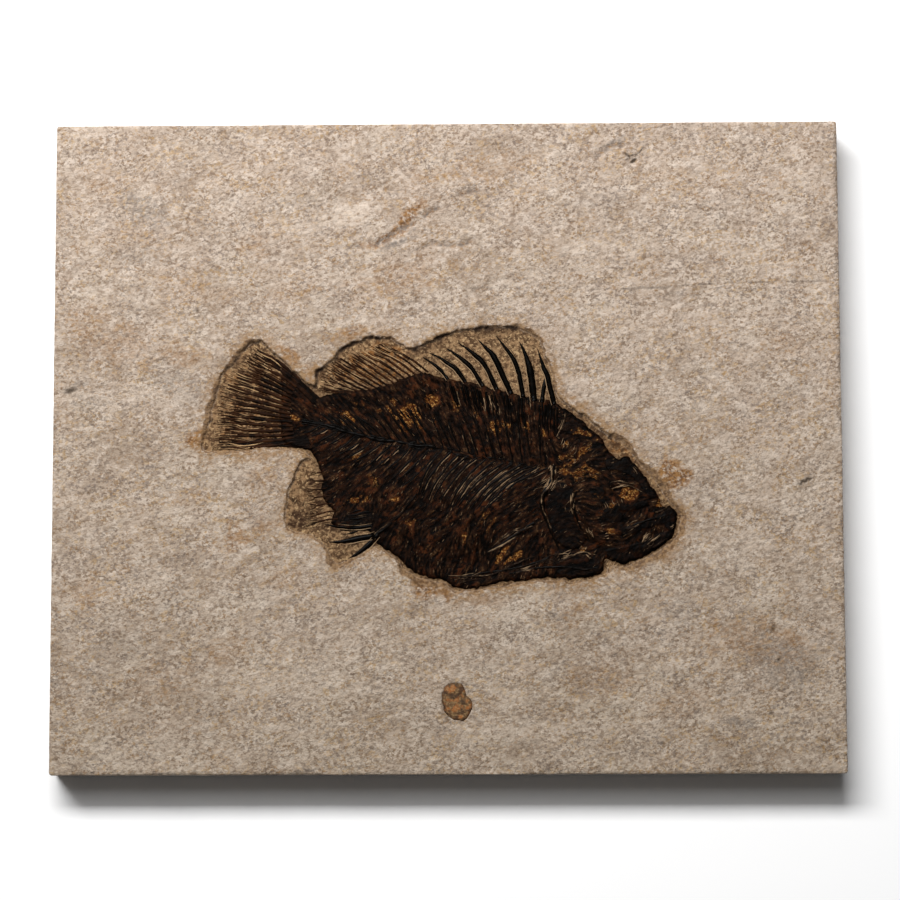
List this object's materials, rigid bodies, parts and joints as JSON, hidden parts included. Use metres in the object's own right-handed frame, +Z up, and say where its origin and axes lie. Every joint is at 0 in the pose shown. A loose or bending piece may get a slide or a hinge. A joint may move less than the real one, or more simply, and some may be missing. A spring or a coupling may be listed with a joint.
{
  "type": "fossil fish slab",
  "caption": "Spiny-finned fossil fish lying in a shallow hollow on the face of a flat limestone slab, with a small oval fossil beside it.",
  "frame": {"origin": "centre of the slab's flat back face, which the slab lies on", "axes": "+X along the slab's long side, the way the fish faces; +Y from the fish's belly to its back; +Z up, out of the face that carries the fish"},
  "size_m": [0.305, 0.253, 0.0192],
  "materials": {
    "stone": "matte",
    "fossil_bone": "satin",
    "inclusion": "matte"
  },
  "bodies": {
    "root": {"limestone_slab": "stone", "fossil_fish": "fossil_bone", "oval_inclusion": "inclusion"}
  },
  "joints": []
}
